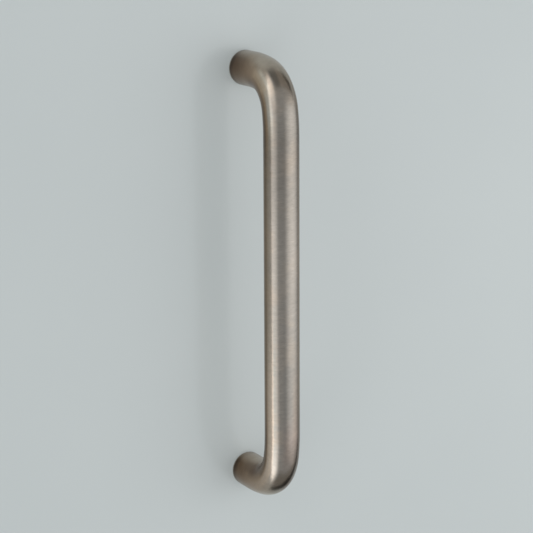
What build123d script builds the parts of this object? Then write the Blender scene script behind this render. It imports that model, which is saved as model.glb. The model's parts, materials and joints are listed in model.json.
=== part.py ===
"""Door pull handle, in millimetres: one round bar bent to a D, with a tapped hole in each foot.

The door's face is the plane Y = 0 and the pull stands out from it along -Y. Its grip runs along Z,
and the origin lies on the door's face, halfway between the two feet.
"""

from build123d import *

import os
from math import radians, sin, tan

# Driving dimensions: the bar and the way it is bent
bar_dia = 19.0
fixing_centres = 225.0  # between the two feet, as the door is drilled
projection = 42.0  # from the door's face to the centreline of the grip
bend_radius = 22.0  # of the centreline, in the middle of each bend
ease_radius = 75.0  # of the centreline, where a bend runs out into a straight
ease_angle = 10.0  # degrees turned on the ease radius at each end of a bend
foot_chamfer = 0.5  # broken edge round each foot

# Driving dimensions: the tapped hole in each foot, for an M8 bolt
tapping_dia = 6.8
tapping_depth = 18.0  # of the drill's full diameter
drill_point = 118.0  # degrees across the drill's point
mouth_dia = 8.4  # of the countersink that leads the bolt in
mouth_angle = 120.0  # degrees across the countersink

# Each bend is three tangent arcs that turn through a right angle between two straights
bend_arcs = [
    (ease_radius, ease_angle),
    (bend_radius, 90 - 2 * ease_angle),
    (ease_radius, ease_angle),
]

# The length that a bend takes off each straight, measured from the corner where they would meet
bend_reach = 0.0
turned = 0.0
for radius, angle in bend_arcs:
    bend_reach += radius * (sin(radians(turned + angle)) - sin(radians(turned)))
    turned += angle

leg_length = projection - bend_reach
grip_length = fixing_centres - 2 * bend_reach

# The seats of the feet on the door, each looking out of the bar, upper one first
foot_seats = [
    Plane(origin=(0, 0, side * fixing_centres / 2), x_dir=(1, 0, 0), z_dir=(0, 1, 0))
    for side in (1, -1)
]

with BuildPart() as pull_handle:
    # The bar's centreline, from the upper foot through both bends to the lower foot
    with BuildLine(Plane.YZ):
        run = Line((0, fixing_centres / 2), (-leg_length, fixing_centres / 2))
        for straight in (grip_length, leg_length):
            for radius, angle in bend_arcs:
                run = JernArc(run @ 1, run % 1, radius, angle)
            run = Line(run @ 1, run @ 1 + (run % 1) * straight)
    with BuildSketch(foot_seats[0]):
        Circle(bar_dia / 2)
    sweep()

    # Each foot is cut off square, with its sharp edge taken off
    foot_rims = pull_handle.edges().filter_by(GeomType.CIRCLE).group_by(Axis.Y)[-1]
    chamfer(foot_rims, foot_chamfer)

    # A blind hole drilled from each foot along the leg, countersunk, with the drill's point below
    with Locations(*foot_seats):
        CounterSinkHole(tapping_dia / 2, mouth_dia / 2, tapping_depth, mouth_angle)
    with Locations(*[seat.offset(-tapping_depth) for seat in foot_seats]):
        Cone(
            bottom_radius=0,
            top_radius=tapping_dia / 2,
            height=tapping_dia / 2 / tan(radians(drill_point / 2)),
            align=(Align.CENTER, Align.CENTER, Align.MAX),
            mode=Mode.SUBTRACT,
        )

pull_handle.part.label = "pull_handle"

os.makedirs("parts", exist_ok=True)
export_step(pull_handle.part, "parts/pull_handle.step")
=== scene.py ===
"""Looks of a bent bar door pull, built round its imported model, in metres.

The door's face is the plane Y = 0 and the pull stands out from it along -Y, with its grip along Z.
"""
import json
from math import cos, pi, radians, sin, tan
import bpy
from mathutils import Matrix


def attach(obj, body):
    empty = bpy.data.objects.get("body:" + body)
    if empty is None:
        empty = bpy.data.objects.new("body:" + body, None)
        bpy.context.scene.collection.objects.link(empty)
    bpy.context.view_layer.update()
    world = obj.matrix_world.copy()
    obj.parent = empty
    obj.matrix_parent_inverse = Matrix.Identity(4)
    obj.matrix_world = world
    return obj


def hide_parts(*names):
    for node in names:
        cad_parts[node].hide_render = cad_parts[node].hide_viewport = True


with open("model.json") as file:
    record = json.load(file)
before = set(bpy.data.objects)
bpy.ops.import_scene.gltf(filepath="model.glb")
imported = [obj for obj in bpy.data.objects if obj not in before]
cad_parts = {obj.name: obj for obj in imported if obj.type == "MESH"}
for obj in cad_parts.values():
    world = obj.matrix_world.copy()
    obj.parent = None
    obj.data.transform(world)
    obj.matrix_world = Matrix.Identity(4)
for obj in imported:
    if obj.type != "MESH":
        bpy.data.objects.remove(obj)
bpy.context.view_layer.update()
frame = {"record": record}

from types import SimpleNamespace

import bpy
import numpy as np
from mathutils import Matrix


# The bar: 19 mm round brass, bent hot to a D and cut off square at both feet. Each bend comes on
# over an easy radius, turns tight in its middle and runs out over the easy radius again.

width, depth, height = frame["record"]["size"]["bbox_m"]
bar_radius = width / 2
grip_reach = depth - bar_radius
foot_height = height / 2 - bar_radius

bend_radius = 0.022
ease_radius = 0.075
ease_turn = radians(10)

station_gap = 0.0022
station_turn = radians(2)
around = 96
angle = np.linspace(0, 2 * pi, around, endpoint=False)


def stations():
    """Cuts the bar's centreline into short steps, from the upper foot to the lower one.

    A stretch of it is a length and the angle that it turns through, and gets enough steps for
    none to be longer than station_gap or to turn further than station_turn. The heading is the
    sum of the turns so far, from straight out of the door, and a step's chord is its length times
    sin(half its turn) / (half its turn), along its middle heading. Taken is what a bend takes off
    each straight, measured from the corner where they would meet.
    Returns each station's y, z, heading and length walked.
    """
    ease = (ease_radius * ease_turn, ease_turn)
    bend = (bend_radius * (pi / 2 - 2 * ease_turn), pi / 2 - 2 * ease_turn)
    taken = ease_radius * (1 + sin(ease_turn) - cos(ease_turn))
    taken += bend_radius * (cos(ease_turn) - sin(ease_turn))
    leg = (grip_reach - taken, 0)
    grip = (2 * (foot_height - taken), 0)

    lengths, turns = [], []
    for length, turn in (leg, ease, bend, ease, grip, ease, bend, ease, leg):
        steps = int(np.ceil(max(length / station_gap, turn / station_turn)))
        lengths.append(np.full(steps, length / steps))
        turns.append(np.full(steps, turn / steps))
    lengths, turns = np.concatenate(lengths), np.concatenate(turns)

    heading = np.append(0, np.cumsum(turns))
    middle = (heading[1:] + heading[:-1]) / 2
    chord = lengths * np.sinc(turns / 2 / pi)
    y = -np.append(0, np.cumsum(chord * np.cos(middle)))
    z = foot_height - np.append(0, np.cumsum(chord * np.sin(middle)))
    return y, z, heading, np.append(0, np.cumsum(lengths))


# The feet: each is faced in a lathe and its rim broken, then drilled blind, countersunk and
# tapped M8 along the leg, for the bolt that comes through the door.

rim_break = 0.0005
tapping_radius = frame["record"]["mounts"][0]["dims"]["hole_r_mm"] / 1000
tapping_depth = 0.018
drill_point = radians(118)
mouth_radius = 0.0042
mouth_angle = radians(120)

thread_radius = 0.004
thread_pitch = 0.00125
thread_angle = radians(60)
thread_runout = 0.003
root_flat = 1 / 8  # of the pitch
rings_per_pitch = 12
flat_rings = 8  # down the drill's cone, and again across the faced end
pole_share = 0.03  # of the bore's radius, for the first ring round the drill's point
edge_softness = 0.00005


def soft_corners(depths, radii):
    """Softens a turned profile: each inner corner becomes a point just before and one just after."""
    corners = np.stack([depths, radii], axis=-1)
    along = np.diff(corners, axis=0)
    along /= np.linalg.norm(along, axis=-1, keepdims=True)
    before = corners[1:-1] - along[:-1] * edge_softness
    after = corners[1:-1] + along[1:] * edge_softness
    return np.stack([before, after], axis=1).reshape(-1, 2).T


def groove(depths, side):
    """How far the thread is cut into the bore, at each depth and angle.

    The depth in pitches plus the angle in turns gives the phase. The groove is a straight-flanked
    wave of it at 60 degrees, with a narrow flat at its root, and it runs out towards the bottom.
    """
    full = thread_radius - tapping_radius
    phase = (depths[:, None] / thread_pitch + side * angle / (2 * pi)) % 1
    flank = full * tan(thread_angle / 2) / thread_pitch
    cut = np.clip(1 - (np.abs(phase - 0.5) - root_flat / 2) / flank, 0, 1)
    return full * cut * np.clip((tapping_depth - depths) / thread_runout, 0, 1)[:, None]


def foot(side):
    """Rings of one foot, from the drill's point to its rim. Side is 1 for the upper foot, else -1.

    Straight lines join the corners of the turned profile: the drill's point, the bore, the
    countersink, the faced end and the broken rim. The bore's rings lie close enough for the
    thread, and a ring's radius is that of the bore with its groove or of the countersink,
    whichever is wider.
    Returns each ring's depth, its radius without the thread, its radius at each angle, and how
    many rings lie in the hole.
    """
    mouth_depth = (mouth_radius - tapping_radius) / tan(mouth_angle / 2)
    tip = tapping_depth + tapping_radius / tan(drill_point / 2)
    land = bar_radius - rim_break

    point = np.linspace(pole_share, 1, flat_rings)
    bore = np.linspace(tapping_depth, 0, int(tapping_depth / thread_pitch * rings_per_pitch))[1:-1]
    sink = tapping_radius + (mouth_depth - bore) * tan(mouth_angle / 2)
    hole_depths = np.concatenate([tip - (tip - tapping_depth) * point, bore])
    hole_radii = np.concatenate([tapping_radius * point, np.maximum(sink, tapping_radius)])
    threaded = np.maximum(sink[:, None], tapping_radius + groove(bore, side))
    cone = np.repeat(hole_radii[:len(point), None], around, axis=1)

    corner_depths, corner_radii = soft_corners(
        np.array([hole_depths[-1], 0, 0, rim_break, 2 * rim_break]),
        np.array([hole_radii[-1], mouth_radius, land, bar_radius, bar_radius]),
    )
    facing = np.linspace(corner_radii[1], corner_radii[2], flat_rings)[1:-1]
    end_depths = np.concatenate([corner_depths[:2], 0 * facing, corner_depths[2:]])
    end_radii = np.concatenate([corner_radii[:2], facing, corner_radii[2:]])

    depths = np.concatenate([hole_depths, end_depths])
    plain_radii = np.concatenate([hole_radii, end_radii])
    radii = np.vstack([cone, threaded, np.repeat(end_radii[:, None], around, axis=1)])
    return depths, plain_radii, radii, len(hole_depths)


def ring_grid():
    """The whole skin as one grid of rings by angles, from one drill's point to the other's.

    A point is its ring's centre, plus the radius times cos(angle) along the outside of the bend
    and times sin(angle) across it. Its place on the bar as turned is cos and sin of its angle at
    the bar's radius, and the length walked over the skin from the middle of the grip.
    Returns the points, their places, the length walked to each ring, how many rings lie in a
    hole, and the length walked to the bar's last ring, beyond which the foot's own rings begin.
    """
    y, z, heading, along = stations()
    keep = (along > rim_break * 2) & (along < along[-1] - rim_break * 2)
    bar = np.full((keep.sum(), around), bar_radius)
    ends = []
    for side, end_heading in ((1, 0), (-1, pi)):
        depths, plain, radii, hole_rings = foot(side)
        ends.append((-depths, np.full(len(depths), side * foot_height),
                     np.full(len(depths), end_heading), plain, radii))
    middle = (y[keep], z[keep], heading[keep], bar[:, 0], bar)
    lower_end = [part[::-1] for part in ends[1]]
    ring_y, ring_z, ring_heading, plain, radius = (
        np.concatenate(part) for part in zip(ends[0], middle, lower_end)
    )

    steps = np.hypot(np.hypot(np.diff(ring_y), np.diff(ring_z)), np.diff(plain))
    walked = np.append(0, np.cumsum(steps))
    walked -= walked[-1] / 2

    outside = radius * np.cos(angle)
    points = np.stack([
        radius * np.sin(angle),
        ring_y[:, None] - outside * np.sin(ring_heading)[:, None],
        ring_z[:, None] + outside * np.cos(ring_heading)[:, None],
    ], axis=-1)
    places = np.empty_like(points)
    places[..., 0] = bar_radius * np.cos(angle)
    places[..., 1] = bar_radius * np.sin(angle)
    places[..., 2] = walked[:, None]
    return points, places, walked, hole_rings, walked[-len(ends[1][0]) - 1]


def pull_mesh():
    """The skin as a closed mesh, with quads between its rings and a fan of triangles at each end.

    The first map coordinate is the walked length and the second is the way round, both in metres.
    Holes get the second material. Returns the mesh and the length walked to the bar's last ring.
    """
    points, places, walked, hole_rings, rim = ring_grid()
    count = len(points)
    ring, spoke = np.meshgrid(np.arange(count - 1), np.arange(around), indexing="ij")
    after = (spoke + 1) % around
    quads = np.stack([
        ring * around + spoke,
        (ring + 1) * around + spoke,
        (ring + 1) * around + after,
        ring * around + after,
    ], axis=-1).reshape(-1, 4)

    first_pole, last_pole = count * around, count * around + 1
    spokes, afters = spoke[0], after[0]
    last_ring = (count - 1) * around
    fans = np.concatenate([
        np.stack([np.full(around, first_pole), spokes, afters], axis=-1),
        np.stack([last_ring + spokes, np.full(around, last_pole), last_ring + afters], axis=-1),
    ])
    poles = points[[0, -1]].mean(axis=1)
    pole_places = [[0, 0, walked[0]], [0, 0, walked[-1]]]

    mesh = bpy.data.meshes.new("pull")
    corners = np.concatenate([points.reshape(-1, 3), poles])
    mesh.from_pydata(corners, [], quads.tolist() + fans.tolist())

    arc = 2 * pi * bar_radius / around
    u = np.stack([walked[ring], walked[ring + 1], walked[ring + 1], walked[ring]], axis=-1)
    v = np.stack([spoke, spoke, spoke + 1, spoke + 1], axis=-1) * arc
    quad_uv = np.stack([u, v], axis=-1).reshape(-1, 2)
    v = np.concatenate([
        np.stack([spokes + 0.5, spokes, spokes + 1], axis=-1),
        np.stack([spokes, spokes + 0.5, spokes + 1], axis=-1),
    ]) * arc
    u = np.repeat([walked[0], walked[-1]], around)[:, None] + 0 * v
    fan_uv = np.stack([u, v], axis=-1).reshape(-1, 2)
    unrolled = mesh.uv_layers.new(name="unrolled")
    unrolled.data.foreach_set("uv", np.concatenate([quad_uv, fan_uv]).astype(np.float32).ravel())

    place = mesh.attributes.new("place on bar", "FLOAT_VECTOR", "POINT")
    places = np.concatenate([places.reshape(-1, 3), pole_places])
    place.data.foreach_set("vector", places.astype(np.float32).ravel())

    in_hole = (ring < hole_rings) | (ring >= count - 1 - hole_rings)
    finish = np.concatenate([in_hole.ravel(), np.ones(2 * around, bool)])
    mesh.polygons.foreach_set("material_index", finish.astype(np.int32))
    mesh.polygons.foreach_set("use_smooth", np.ones(len(finish), bool))
    return mesh, rim


# The finish: the bar is plated, darkened, and then relieved with a fine belt run round it, which
# leaves satin rings. Patina under painted shade darkens it beside the feet and in the hollows of
# the bends, and painted highlights lie on its shoulders. The ends are faced and tapped afterwards.

def put(tree, kind, inputs, **settings):
    """Adds a node of that kind, sets it up, and fills its inputs with values or other outputs."""
    made = tree.nodes.new("ShaderNode" + kind)
    for name, value in settings.items():
        setattr(made, name, value)
    for socket, value in inputs.items():
        if isinstance(value, bpy.types.NodeSocket):
            tree.links.new(value, made.inputs[socket])
        else:
            made.inputs[socket].default_value = value
    return made


def maths(tree, operation, *values, **settings):
    """Works out one sum on values or other outputs."""
    return put(tree, "Math", dict(enumerate(values)), operation=operation, **settings).outputs[0]


def product(tree, *factors):
    """Multiplies any number of values or other outputs."""
    made = factors[0]
    for factor in factors[1:]:
        made = maths(tree, "MULTIPLY", made, factor)
    return made


def between(tree, value, low, high, to_low, to_high, kind="LINEAR"):
    """Carries a value from one range to another and holds it there."""
    made = put(tree, "MapRange", {"Value": value, "From Min": low, "From Max": high,
                                  "To Min": to_low, "To Max": to_high}, interpolation_type=kind)
    return made.outputs["Result"]


def window(tree, value, rise, full, fade=None, gone=None):
    """A mask that goes smoothly from 0 at rise to 1 at full, and then back from fade to gone."""
    mask = between(tree, value, rise, full, 0.0, 1.0, "SMOOTHSTEP")
    if fade is not None:
        mask = product(tree, mask, between(tree, value, fade, gone, 1.0, 0.0, "SMOOTHSTEP"))
    return mask


def blend(tree, share, one, other):
    """Mixes two colours by share: 0 gives one and 1 the other."""
    made = put(tree, "Mix", {"Factor": share}, data_type="RGBA")
    for socket, value in ((made.inputs[6], one), (made.inputs[7], other)):
        if isinstance(value, bpy.types.NodeSocket):
            tree.links.new(value, socket)
        else:
            socket.default_value = (*value, 1)
    return made.outputs[2]


def patch(tree, colour, tone, *masks):
    """Lays a tone over a colour, as strongly as all the masks together allow."""
    return blend(tree, product(tree, *masks), colour, tone)


def tool_mark_group():
    """Rings left by a belt or a tool, in the place on the bar: Marks from 0 to 1.

    Noise is read at the way round divided by Reach and the length along divided by Spacing, so a
    mark is that long and that wide. Lean slants the marks by adding part of the way across.
    """
    group = bpy.data.node_groups.new("tool marks", "ShaderNodeTree")
    group.interface.new_socket("Place", in_out="INPUT", socket_type="NodeSocketVector")
    for name in ("Spacing", "Reach", "Lean", "Roughness"):
        group.interface.new_socket(name, in_out="INPUT", socket_type="NodeSocketFloat")
    group.interface.new_socket("Marks", in_out="OUTPUT", socket_type="NodeSocketFloat")
    given = group.nodes.new("NodeGroupInput").outputs
    axes = put(group, "SeparateXYZ", {0: given["Place"]}).outputs
    x = maths(group, "DIVIDE", axes[0], given["Reach"])
    y = maths(group, "DIVIDE", axes[1], given["Reach"])
    slanted = maths(group, "MULTIPLY_ADD", axes[1], given["Lean"], axes[2])
    z = maths(group, "DIVIDE", slanted, given["Spacing"])
    at = put(group, "CombineXYZ", {0: x, 1: y, 2: z}).outputs[0]
    noise = put(group, "TexNoise", {"Vector": at, "Scale": 1.0, "Detail": 3.0,
                                    "Roughness": given["Roughness"]}).outputs[0]
    out = group.nodes.new("NodeGroupOutput")
    group.links.new(between(group, noise, 0.25, 0.75, 0.0, 1.0), out.inputs["Marks"])
    return group


tool_marks = tool_mark_group()


def marks(tree, place, spacing, reach, lean=0.0, roughness=0.6):
    """Puts the tool marks into a material, each mark that wide and that long in metres."""
    made = put(tree, "Group", {"Place": place, "Spacing": spacing, "Reach": reach, "Lean": lean,
                               "Roughness": roughness}, node_tree=tool_marks)
    return made.outputs["Marks"]


def metal(name, stretch):
    """A metal whose highlights stretch across its tool marks, along the first map coordinate."""
    material = bpy.data.materials.new(name)
    material.use_nodes = True
    tree = material.node_tree
    shader = tree.nodes["Principled BSDF"]
    shader.inputs["Metallic"].default_value = 1
    shader.inputs["Anisotropic"].default_value = stretch
    tangent = put(tree, "Tangent", {}, direction_type="UV_MAP", uv_map="unrolled")
    tree.links.new(tangent.outputs[0], shader.inputs["Tangent"])
    place = put(tree, "Attribute", {}, attribute_name="place on bar").outputs["Vector"]
    return material, tree, shader, place


def where_on_bar(tree, place, rim):
    """Measures of where a point lies on the bar, for the masks of the finish.

    Along is the walked length from the middle of the grip towards the lower foot, and from_foot
    is what is left of it to where the nearer foot's own rings begin, and below 0 on those. Inward
    is 1 on the side that faces the door and -1 on the side that faces the hand, and across is 1
    on the right and -1 on the left. Up is 1 on top of either leg and -1 under it. Upper and lower
    are 1 on that half of the pull, and patchy is a cloudy unevenness about 0.
    """
    axes = put(tree, "SeparateXYZ", {0: place}).outputs
    along = axes[2]
    inward = maths(tree, "DIVIDE", axes[0], -bar_radius)
    cloud = put(tree, "TexNoise", {"Vector": place, "Scale": 70.0, "Detail": 4.0, "Roughness": 0.55})
    return SimpleNamespace(
        along=along,
        from_foot=maths(tree, "SUBTRACT", rim, maths(tree, "ABSOLUTE", along)),
        inward=inward,
        across=maths(tree, "DIVIDE", axes[1], bar_radius),
        up=maths(tree, "MULTIPLY", inward, maths(tree, "SIGN", along)),
        upper=maths(tree, "LESS_THAN", along, 0.0),
        lower=maths(tree, "GREATER_THAN", along, 0.0),
        cloud=cloud.outputs[0],
        patchy=between(tree, cloud.outputs[0], 0.35, 0.7, -0.12, 0.18),
    )


def grip_skin(tree, at):
    """The plated skin along the grip.

    It is relieved to a pale grey in front, with other tones in the lower half. It is browner on both
    flanks, and carries painted shade on the right and on both shoulders of the back, darkest near
    the bends.
    """
    relieved = (0.333, 0.302, 0.266)
    pale_left = (0.294, 0.278, 0.246)
    lower_front_tone = (0.296, 0.273, 0.245)
    lower_right_tone = (0.318, 0.270, 0.228)
    rosy = (0.332, 0.260, 0.222)
    # Other tones in the lower half of the grip and round the lower bend
    below = window(tree, at.along, -0.020, 0.050, 0.082, 0.100)
    lower_end = window(tree, at.along, 0.030, 0.070, 0.080, 0.095)
    lower_bend = window(tree, at.along, 0.065, 0.085, 0.092, 0.100)
    skin = patch(tree, relieved, pale_left, below, window(tree, at.across, -0.70, -0.80))
    skin = patch(tree, skin, lower_front_tone, below, window(tree, at.across, -0.50, -0.25))
    skin = patch(tree, skin, lower_right_tone, lower_end, window(tree, at.across, 0.0, 0.35))
    skin = patch(tree, skin, rosy, lower_bend, window(tree, at.across, -0.6, -0.2), 0.5)

    toned = (0.310, 0.240, 0.178)
    toned_end = (0.345, 0.238, 0.155)
    toned_low = (0.440, 0.302, 0.205)
    flank = product(tree, window(tree, at.inward, -0.6, -0.1),
                    between(tree, at.inward, 0.55, 0.95, 0.95, 0.4))
    in_bend = window(tree, at.from_foot, 0.024, 0.032, 0.055, 0.080)
    tone = blend(tree, lower_end, blend(tree, in_bend, toned, toned_end), toned_low)
    skin = blend(tree, maths(tree, "ADD", flank, at.patchy, use_clamp=True), skin, tone)

    # Painted shade along the right side and round the back, darkest near the bends
    shaded = (0.215, 0.145, 0.088)
    shaded_end = (0.125, 0.078, 0.045)
    behind = product(tree, window(tree, at.inward, -0.22, 0.05, 0.55, 0.95), 0.95)
    right = product(tree, window(tree, at.across, 0.42, 0.72), 0.9)
    near_end = window(tree, at.from_foot, 0.030, 0.036, 0.060, 0.085)
    side = maths(tree, "MAXIMUM", behind, right)
    return blend(tree, side, skin, blend(tree, near_end, shaded, shaded_end))


def painted_shoulder_highlights(tree, at, skin):
    """Painted highlights: paler strips on both shoulders, in the upper bend and down the grip."""
    shoulder_highlight = (0.495, 0.462, 0.402)
    grip_shoulder_highlight = (0.555, 0.448, 0.362)
    in_bend = window(tree, at.from_foot, 0.024, 0.034, 0.048, 0.075)
    shoulder = window(tree, at.inward, -0.68, -0.52, -0.40, -0.18)
    skin = patch(tree, skin, shoulder_highlight, shoulder, in_bend, 0.75, at.upper)
    downwards = between(tree, at.along, -0.01, 0.07, 0.2, 0.9, "SMOOTHSTEP")
    shoulder = window(tree, at.inward, -0.62, -0.40, -0.26, 0.0)
    return patch(tree, skin, grip_shoulder_highlight, shoulder, window(tree, at.along, -0.085, -0.055), downwards)


def bends_and_legs(tree, at, skin):
    """The browner skin of the legs, with a painted sheen on top and below, and painted highlights and
    darker patches in the bends.
    """
    leg_skin = (0.368, 0.262, 0.181)
    # Painted sheen on top of and under each leg
    leg_sheen = (0.470, 0.395, 0.315)
    on_leg = between(tree, at.from_foot, 0.020, 0.050, 1.0, 0.0, "SMOOTHSTEP")
    leg = blend(tree, product(tree, at.inward, at.inward), leg_skin, leg_sheen)
    colour = blend(tree, maths(tree, "ADD", on_leg, at.patchy, use_clamp=True), skin, leg)

    # A painted highlight on the shoulders of the upper bend, with browner metal beside that
    bend_highlight = (0.620, 0.560, 0.470)
    bend_bronze = (0.490, 0.368, 0.258)
    colour = patch(tree, colour, bend_highlight, at.upper, 0.7,
                   window(tree, at.inward, -0.75, -0.58, -0.40, -0.22),
                   window(tree, at.from_foot, 0.024, 0.031, 0.035, 0.043))
    colour = patch(tree, colour, bend_bronze, at.upper, 0.7,
                   window(tree, at.inward, -0.60, -0.42, -0.18, 0.02),
                   window(tree, at.from_foot, 0.023, 0.028, 0.036, 0.042))

    # Painted shade on the right of the lower bend, deepening the dark reflection there, and a darker
    # patch on the front of the upper one
    lower_bend_shade = (0.185, 0.128, 0.088)
    upper_bend_dark_patch = (0.210, 0.200, 0.185)
    colour = patch(tree, colour, lower_bend_shade, at.lower, 0.85,
                   window(tree, at.across, -0.15, 0.20),
                   window(tree, at.from_foot, 0.030, 0.034, 0.037, 0.043))
    colour = patch(tree, colour, upper_bend_dark_patch, at.upper, 0.7,
                   window(tree, at.across, -0.60, -0.48, -0.28, -0.10),
                   window(tree, at.inward, -0.50, -0.65),
                   window(tree, at.from_foot, 0.028, 0.033, 0.036, 0.042))

    # The outside of both bends, paler
    bend_outside_pale = (0.565, 0.490, 0.410)
    return patch(tree, colour, bend_outside_pale, 0.65,
                 window(tree, at.inward, -0.60, -0.88),
                 window(tree, at.from_foot, 0.017, 0.024, 0.026, 0.031))


def beside_feet(tree, at, colour):
    """Darker metal beside the feet and in the hollows of the bends: patina with painted shade over it.

    Returns the colour and how dark the metal beside the feet is.
    """
    # Patina beside each foot, under painted shade that is lightest on top of each leg
    darkened = (0.115, 0.060, 0.028)
    darkened_low = (0.180, 0.113, 0.067)
    near_foot = between(tree, at.from_foot, 0.003, 0.026, 1.0, 0.0, "SMOOTHSTEP")
    side = product(tree, between(tree, at.up, -0.6, 0.45, 0.55, 1.0, "SMOOTHSTEP"),
                   between(tree, at.up, 0.6, 1.0, 1.0, 0.2, "SMOOTHSTEP"))
    uneven = maths(tree, "MULTIPLY_ADD", at.patchy, near_foot, near_foot)
    dark = maths(tree, "MULTIPLY", uneven, side, use_clamp=True)
    colour = blend(tree, dark, colour, blend(tree, at.upper, darkened_low, darkened))

    # The hollows inside both bends: patina with painted shade over it
    hollow_patina_and_shade = (0.155, 0.098, 0.062)
    colour = patch(tree, colour, hollow_patina_and_shade, 0.9,
                   window(tree, at.from_foot, 0.012, 0.024, 0.030, 0.046),
                   window(tree, at.inward, -0.1, 0.5),
                   between(tree, at.inward, 0.7, 1.0, 1.0, 0.4, "SMOOTHSTEP"))
    colour = patch(tree, colour, hollow_patina_and_shade, at.lower, 0.55,
                   window(tree, at.from_foot, 0.006, 0.014, 0.028, 0.034),
                   window(tree, at.inward, 0.25, 0.50, 0.75, 0.95))

    # Grime and painted contact shade beside the door, and the clean metal of the rim and the faced end
    grime_and_contact_shade = (0.070, 0.040, 0.022)
    cut = (0.400, 0.350, 0.290)
    ring = between(tree, at.from_foot, 0.0002, 0.0045, 0.9, 0.0, "SMOOTHSTEP")
    colour = patch(tree, colour, grime_and_contact_shade, ring, side)
    colour = patch(tree, colour, cut, between(tree, at.from_foot, -0.0009, -0.0005, 1.0, 0.0))
    return colour, dark


def antique_nickel(rim):
    """Satin antique nickel: the skin's colour, scaled by the belt's rings and by clouds.

    The rings also make it rougher, and stand a few thousandths of a millimetre proud.
    """
    material, tree, shader, place = metal("satin antique nickel", stretch=0.3)
    at = where_on_bar(tree, place, rim)
    skin = painted_shoulder_highlights(tree, at, grip_skin(tree, at))
    colour, dark = beside_feet(tree, at, bends_and_legs(tree, at, skin))

    fine = marks(tree, place, spacing=0.00035, reach=0.003, lean=0.05)
    wide = marks(tree, place, spacing=0.0016, reach=0.0035, lean=0.07, roughness=0.5)
    # Darker towards the upper end of the grip
    upper_grip_darker = product(tree, window(tree, at.along, -0.092, -0.080, -0.070, -0.020), 0.17)
    rings = maths(tree, "ADD", product(tree, fine, 0.17), product(tree, wide, 0.12))
    level = maths(tree, "ADD", rings, between(tree, at.cloud, 0.25, 0.75, 0.80, 0.92))
    level = maths(tree, "SUBTRACT", level, upper_grip_darker)
    toned = put(tree, "VectorMath", {0: colour, 3: level}, operation="SCALE")
    tree.links.new(toned.outputs[0], shader.inputs["Base Color"])

    rough = maths(tree, "ADD", product(tree, fine, 0.06), product(tree, dark, 0.02))
    tree.links.new(maths(tree, "ADD", rough, 0.20), shader.inputs["Roughness"])

    relief = maths(tree, "ADD", fine, product(tree, wide, 1.5))
    bump = put(tree, "Bump", {"Height": relief, "Strength": 0.25, "Distance": 0.000004})
    tree.links.new(bump.outputs[0], shader.inputs["Normal"])
    return material


def cut_brass():
    """Brass as the drill and the tap leave it, stained in places."""
    bright = (0.62, 0.45, 0.21)
    stained = (0.22, 0.15, 0.07)
    material, tree, shader, place = metal("cut brass", stretch=0.5)
    fine = marks(tree, place, spacing=0.00012, reach=0.004)
    stain = put(tree, "TexNoise", {"Vector": place, "Scale": 400.0, "Detail": 3.0}).outputs[0]
    colour = blend(tree, between(tree, stain, 0.45, 0.75, 0.0, 0.7), bright, stained)
    tree.links.new(colour, shader.inputs["Base Color"])
    tree.links.new(between(tree, fine, 0.0, 1.0, 0.22, 0.38), shader.inputs["Roughness"])
    bump = put(tree, "Bump", {"Height": fine, "Strength": 0.3, "Distance": 0.00001})
    tree.links.new(bump.outputs[0], shader.inputs["Normal"])
    return material


mesh, rim = pull_mesh()
mesh.materials.append(antique_nickel(rim))
mesh.materials.append(cut_brass())
pull = bpy.data.objects.new("pull", mesh)
bpy.context.scene.collection.objects.link(pull)
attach(pull, "root")
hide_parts("pull_handle")


# The door: a flat board in a smooth pale paint. It isn't part of the pull. It can't be seen from
# behind, and is left open round each fixing, so that light reaches the ends of the feet there.

half_board = 0.45
door_gap = 0.0001
fixing_opening = 0.0088

mesh = bpy.data.meshes.new("door")
mesh.from_pydata([
    (-half_board, door_gap, -half_board),
    (half_board, door_gap, -half_board),
    (half_board, door_gap, half_board),
    (-half_board, door_gap, half_board),
], [], [(0, 1, 2, 3)])
door = bpy.data.objects.new("door", mesh)
bpy.context.scene.collection.objects.link(door)


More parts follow.
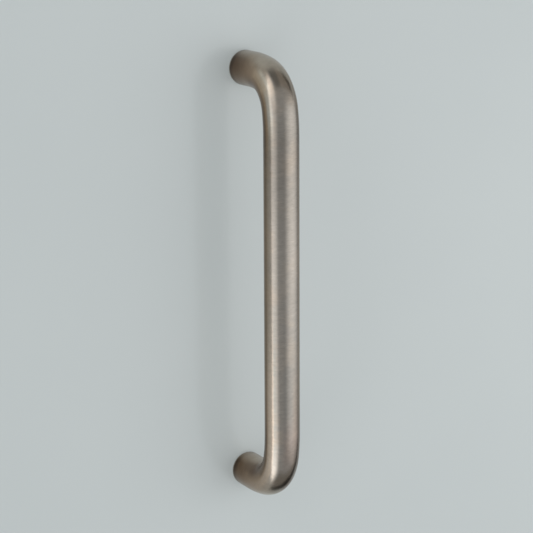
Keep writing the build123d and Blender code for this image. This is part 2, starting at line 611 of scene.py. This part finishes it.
def door_paint():
    """Pale paint, smooth seen straight on and duller at a slant, on the front of the board only.

    A part of what the camera and mirrors see of it is its plain tone, which evens out the light
    over the board. The openings are circles about each foot's centre.
    """
    pale = (0.588, 0.626, 0.622)
    paler = (0.606, 0.643, 0.637)
    plain_tone = (0.494, 0.542, 0.541, 1)
    plain_share = 0.25
    material = bpy.data.materials.new("pale door paint")
    material.use_nodes = True
    tree = material.node_tree
    shader = tree.nodes["Principled BSDF"]
    slant = put(tree, "LayerWeight", {"Blend": 0.5}).outputs["Facing"]
    tree.links.new(between(tree, slant, 0.4, 0.9, 0.18, 0.6, "SMOOTHSTEP"), shader.inputs["Roughness"])
    place = put(tree, "TexCoord", {}).outputs["Object"]
    mottle = put(tree, "TexNoise", {"Vector": place, "Scale": 9.0, "Detail": 3.0}).outputs[0]
    tone = blend(tree, between(tree, mottle, 0.3, 0.7, 0.0, 1.0), pale, paler)
    tree.links.new(tone, shader.inputs["Base Color"])

    plain = put(tree, "Emission", {"Color": plain_tone}).outputs[0]
    path = put(tree, "LightPath", {}).outputs
    looked_at = maths(tree, "MAXIMUM", path["Is Camera Ray"], path["Is Glossy Ray"])
    front = put(tree, "MixShader", {0: product(tree, looked_at, plain_share),
                                    1: shader.outputs[0], 2: plain}).outputs[0]

    axes = put(tree, "SeparateXYZ", {0: place}).outputs
    height = maths(tree, "SUBTRACT", maths(tree, "ABSOLUTE", axes[2]), foot_height)
    from_fixing = put(tree, "CombineXYZ", {0: axes[0], 2: height}).outputs[0]
    distance = put(tree, "VectorMath", {0: from_fixing}, operation="LENGTH").outputs["Value"]
    opened = maths(tree, "LESS_THAN", distance, fixing_opening)
    back = put(tree, "NewGeometry", {}).outputs["Backfacing"]
    clear = put(tree, "BsdfTransparent", {}).outputs[0]
    seen = put(tree, "MixShader", {0: maths(tree, "MAXIMUM", back, opened), 1: front, 2: clear})
    tree.links.new(seen.outputs[0], tree.nodes["Material Output"].inputs["Surface"])
    return material


mesh.materials.append(door_paint())


# The light: a plain pale studio with three soft boxes. Two stand close by the door on the left, one
# above the other, and one stands in front on the right.

studio = (0.95, 0.985, 1.01, 1)
studio_strength = 0.55
world = bpy.data.worlds.new("studio")
bpy.context.scene.world = world
world.use_nodes = True
world.node_tree.nodes["Background"].inputs["Color"].default_value = studio
world.node_tree.nodes["Background"].inputs["Strength"].default_value = studio_strength


def soft_box(name, place, facing, size, radiance):
    """An upright soft box with a hot middle, facing that many degrees from the door's normal.

    Its radiance falls from the middle to nothing at the edges, as the squared sine of half a turn
    across its width, times the same over its height. A flat lamp's power is pi times its
    radiance times its area.
    """
    lamp = bpy.data.lights.new(name, "AREA")
    lamp.shape = "RECTANGLE"
    lamp.size, lamp.size_y = size
    lamp.energy = pi * radiance * size[0] * size[1]
    lamp.use_nodes = True
    tree = lamp.node_tree
    spot = put(tree, "NewGeometry", {}).outputs["Parametric"]
    axes = put(tree, "SeparateXYZ", {0: spot}).outputs
    waves = [maths(tree, "SINE", product(tree, axis, pi)) for axis in (axes[0], axes[1])]
    glow = maths(tree, "POWER", product(tree, *waves), 2)
    tree.links.new(glow, tree.nodes["Emission"].inputs["Strength"])
    box = bpy.data.objects.new(name, lamp)
    bpy.context.scene.collection.objects.link(box)
    box.location = place
    box.rotation_euler = Matrix.Rotation(radians(facing), 3, "Z").to_euler()
    box.rotation_euler.rotate_axis("X", pi / 2)
    box.visible_camera = False


soft_box("left upper box", place=(-0.80, -0.04, 0.80), facing=-90, size=(1.80, 2.30), radiance=1.58)
soft_box("left lower box", place=(-0.80, -0.03, -0.80), facing=-90, size=(1.80, 2.30), radiance=2.6)

right_facing = 42
right_distance = 0.8
right_place = (
    right_distance * sin(radians(right_facing)),
    -right_distance * cos(radians(right_facing)),
    -0.055,
)
soft_box("right box", right_place, right_facing, size=(2.1, 1.50), radiance=1.20)


# The flags: matt cards that stand against the door round the pull, as used to draw metal. They show
# only where metal or paint mirrors them, and cast no shadow.

card_tint = (1.0, 0.94, 0.86)
low_flag_height = -0.22


def flag(name, corners, shade):
    """A matt card, given by its four corners and how pale it is."""
    mesh = bpy.data.meshes.new(name)
    mesh.from_pydata(corners, [], [(0, 1, 2, 3)])
    material = bpy.data.materials.new(name)
    material.use_nodes = True
    shader = material.node_tree.nodes["Principled BSDF"]
    shader.inputs["Base Color"].default_value = (*[shade * part for part in card_tint], 1)
    shader.inputs["Roughness"].default_value = 0.9
    mesh.materials.append(material)
    card = bpy.data.objects.new(name, mesh)
    bpy.context.scene.collection.objects.link(card)
    card.visible_camera = False
    card.visible_diffuse = False
    card.visible_shadow = False


def level_flag(name, left, right, front, height, shade):
    """A level card at that height, from the door to that far in front of it."""
    corners = [(left, -front, height), (right, -front, height), (right, 0, height), (left, 0, height)]
    flag(name, corners, shade)


level_flag("upper card", left=-0.21, right=1.0, front=0.38, height=0.60, shade=0.40)
level_flag("lower card", left=-0.21, right=1.0, front=0.34, height=-0.60, shade=0.36)
flag("small lower flag", [
    (-0.03, -0.02, low_flag_height),
    (0.07, -0.065, low_flag_height),
    (0.07, 0, low_flag_height),
    (-0.03, 0, low_flag_height),
], 0.03)
level_flag("long lower flag", left=0.07, right=0.40, front=0.065, height=low_flag_height, shade=0.03)
flag("right flag", [
    (0.20, 0, 0.20),
    (0.36, -0.10, 0.20),
    (0.36, -0.10, 0.42),
    (0.20, 0, 0.42),
], 0.10)


# The camera: a long lens, left of the pull and a little above it, as in the photograph, turned
# towards the pull, tipped down and rolled a hair.

view = bpy.context.scene.view_settings
view.view_transform = "Standard"

lens = bpy.data.cameras.new("camera")
lens.lens = 130.68
lens.sensor_width = 36
lens.clip_start = 0.01
camera = bpy.data.objects.new("camera", lens)
bpy.context.scene.collection.objects.link(camera)
camera.location = (-0.46746, -0.92616, 0.22892)
pan = -0.4783
tilt = -0.2144
roll = -0.0052
aim = Matrix.Rotation(pan, 3, "Z") @ Matrix.Rotation(pi / 2 + tilt, 3, "X")
camera.rotation_euler = (aim @ Matrix.Rotation(roll, 3, "Z")).to_euler()
bpy.context.scene.camera = camera
